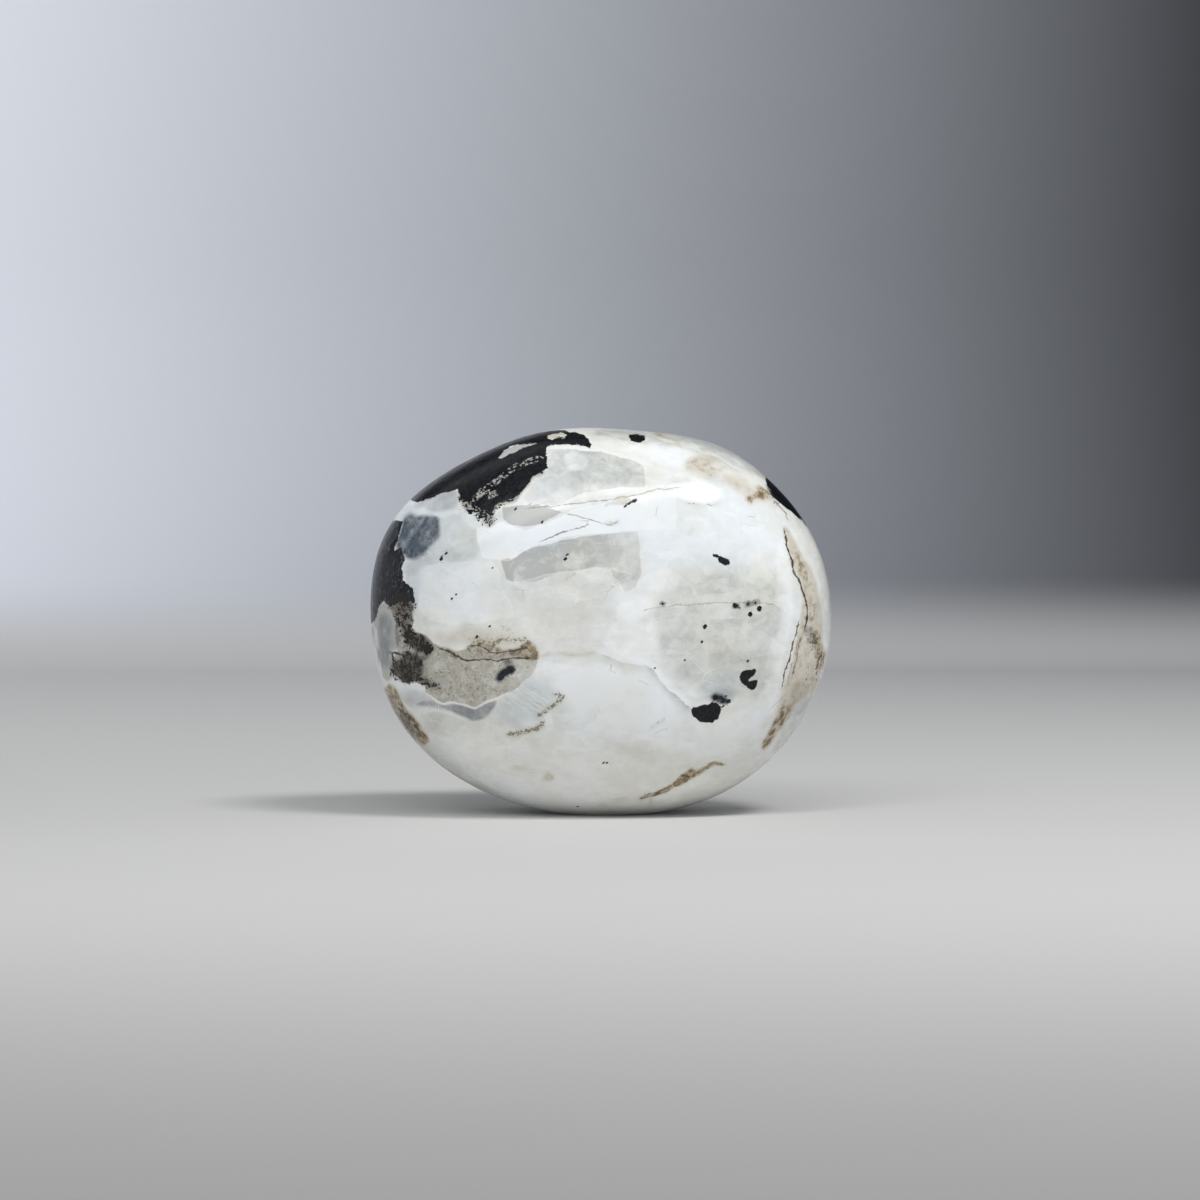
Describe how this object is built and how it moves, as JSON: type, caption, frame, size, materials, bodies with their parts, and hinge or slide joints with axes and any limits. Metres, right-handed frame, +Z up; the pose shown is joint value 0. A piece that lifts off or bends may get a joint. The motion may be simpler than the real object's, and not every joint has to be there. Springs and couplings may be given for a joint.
{
  "type": "palm stone",
  "caption": "Polished oval palm stone of white rainbow moonstone with black tourmaline patches, standing on its long edge on a small ground flat.",
  "frame": {"origin": "on the surface that the stone stands on, under the middle of its box", "axes": "+Z up from the foot, +X along the oval's long axis, -Y out of the broad face that is seen"},
  "size_m": [0.055, 0.0316, 0.046],
  "materials": {
    "moonstone": "polished"
  },
  "bodies": {
    "root": {"palm_stone": "moonstone"}
  },
  "joints": []
}
